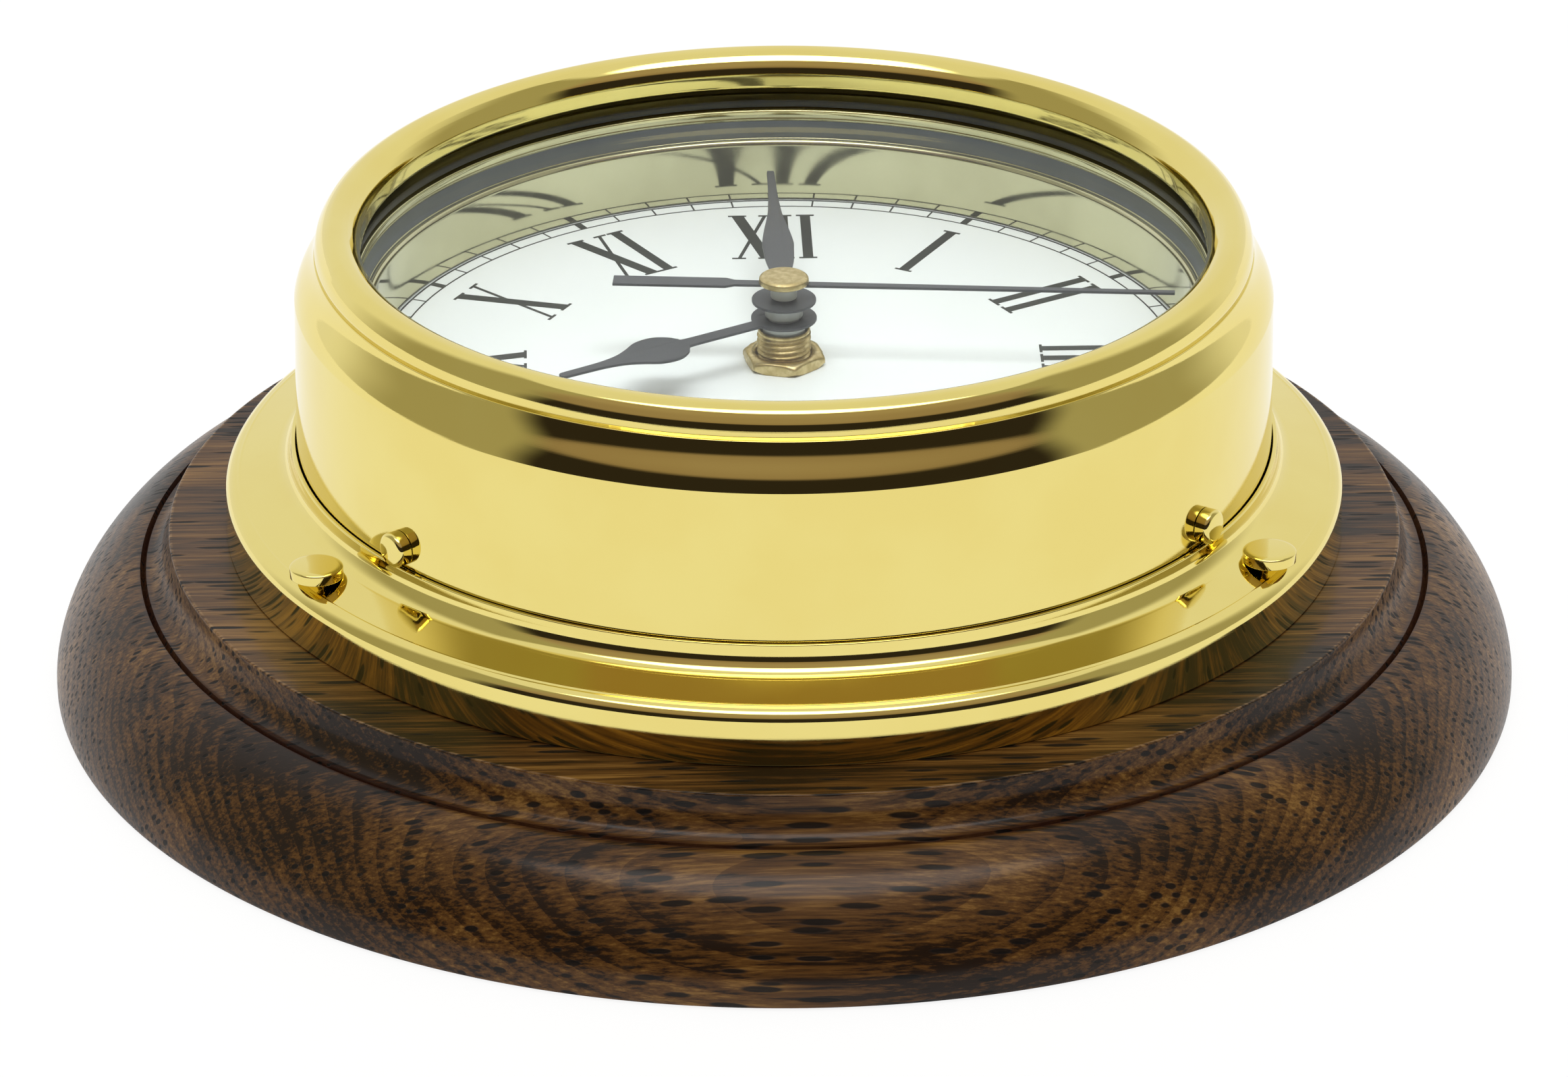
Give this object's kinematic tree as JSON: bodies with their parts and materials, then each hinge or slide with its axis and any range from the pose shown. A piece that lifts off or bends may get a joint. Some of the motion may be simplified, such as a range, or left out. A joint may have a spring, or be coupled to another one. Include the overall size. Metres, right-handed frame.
{
  "type": "deck clock",
  "caption": "Round polished brass quartz deck clock with Roman numerals and three hands, screwed to a turned dark oak mount; hangs on a wall or lies on a table.",
  "frame": {"origin": "centre of the oak mount's back face, which lies on the table", "axes": "+Z out of the dial, +Y towards twelve o'clock, +X towards three o'clock"},
  "size_m": [0.218, 0.218, 0.0726],
  "materials": {
    "polished_brass": "mirror polished",
    "satin_brass": "satin",
    "dark_oak": "dark stained oak, satin varnish",
    "clear_glass": "clear",
    "black_rubber": "matte",
    "white_enamel": "smooth white with printed black numerals",
    "black_hand": "satin dark grey",
    "pale_nylon": "moulded",
    "black_plastic": "fine moulded texture",
    "zinc_steel": "bright zinc plate",
    "copper_winding": "varnished copper wire",
    "green_board": "solder mask",
    "battery_jacket": "printed sleeve, plain"
  },
  "bodies": {
    "case": {"wall_mount": "dark_oak", "hanger_plate": "zinc_steel", "hanger_screw_1": "zinc_steel", "hanger_screw_2": "zinc_steel", "base_flange": "polished_brass", "flange_screw_1": "polished_brass", "flange_screw_2": "polished_brass", "flange_screw_3": "polished_brass", "foot_screw_1": "polished_brass", "foot_screw_2": "polished_brass", "foot_screw_3": "polished_brass", "case_drum": "polished_brass", "bezel": "polished_brass", "glass": "clear_glass", "glass_gasket": "black_rubber", "dial_ring": "polished_brass", "dial": "white_enamel", "dial_washer": "black_rubber", "threaded_bush": "satin_brass", "hex_nut": "satin_brass", "movement_housing": "black_plastic", "movement_cover": "black_plastic", "stator_plate": "zinc_steel", "coil_core": "zinc_steel", "drive_coil": "copper_winding", "circuit_board": "green_board", "quartz_crystal": "zinc_steel", "battery": "battery_jacket", "battery_contact_1": "zinc_steel", "battery_contact_2": "zinc_steel"},
    "seconds": {"second_hand": "black_hand", "second_hand_cap": "satin_brass", "second_hand_sleeve": "pale_nylon", "second_arbor": "zinc_steel", "second_wheel": "pale_nylon"},
    "minutes": {"minute_hand": "black_hand", "minute_hand_sleeve": "pale_nylon", "cannon_pinion": "pale_nylon"},
    "hours": {"hour_hand": "black_hand", "hour_wheel": "pale_nylon"},
    "centre_wheel": {"centre_wheel": "pale_nylon"},
    "third_wheel": {"third_wheel": "pale_nylon"},
    "intermediate_wheel": {"intermediate_wheel": "pale_nylon"},
    "rotor": {"rotor": "pale_nylon", "rotor_magnet": "zinc_steel"},
    "motion_wheel": {"motion_wheel": "pale_nylon"},
    "set_knob": {"set_knob": "black_plastic"}
  },
  "joints": [
    {"name": "second_hand_spin", "type": "hinge", "parent": "case", "child": "seconds", "pos_m": [0, 0, 0.0614], "axis": [0, 0, -1], "continuous": true},
    {"name": "minute_hand_spin", "type": "hinge", "parent": "case", "child": "minutes", "pos_m": [0, 0, 0.0589], "axis": [0, 0, -1], "continuous": true},
    {"name": "hour_hand_spin", "type": "hinge", "parent": "case", "child": "hours", "pos_m": [0, 0, 0.056], "axis": [0, 0, -1], "continuous": true},
    {"name": "centre_wheel_spin", "type": "hinge", "parent": "case", "child": "centre_wheel", "pos_m": [0, 0, 0.041], "axis": [0, 0, -1], "continuous": true},
    {"name": "third_wheel_spin", "type": "hinge", "parent": "case", "child": "third_wheel", "pos_m": [0, 0.00945, 0.038], "axis": [0, 0, -1], "continuous": true},
    {"name": "intermediate_wheel_spin", "type": "hinge", "parent": "case", "child": "intermediate_wheel", "pos_m": [0.00691, 0.00251, 0.0365], "axis": [0, 0, -1], "continuous": true},
    {"name": "rotor_spin", "type": "hinge", "parent": "case", "child": "rotor", "pos_m": [0.014, 0.00126, 0.035], "axis": [0, 0, -1], "continuous": true},
    {"name": "motion_wheel_spin", "type": "hinge", "parent": "case", "child": "motion_wheel", "pos_m": [-0.00779, 0.0045, 0.043], "axis": [0, 0, -1], "continuous": true},
    {"name": "set_knob_spin", "type": "hinge", "parent": "case", "child": "set_knob", "pos_m": [-0.01229, 0.01229, 0.0275], "axis": [0, 0, -1], "continuous": true}
  ],
  "couplings": [
    {"joint": "third_wheel_spin", "follows": "second_hand_spin", "ratio": -0.13333},
    {"joint": "centre_wheel_spin", "follows": "second_hand_spin", "ratio": 0.016667},
    {"joint": "intermediate_wheel_spin", "follows": "second_hand_spin", "ratio": -6},
    {"joint": "rotor_spin", "follows": "second_hand_spin", "ratio": 30},
    {"joint": "motion_wheel_spin", "follows": "minute_hand_spin", "ratio": -0.33333},
    {"joint": "hour_hand_spin", "follows": "minute_hand_spin", "ratio": 0.083333},
    {"joint": "set_knob_spin", "follows": "minute_hand_spin", "ratio": 1}
  ]
}
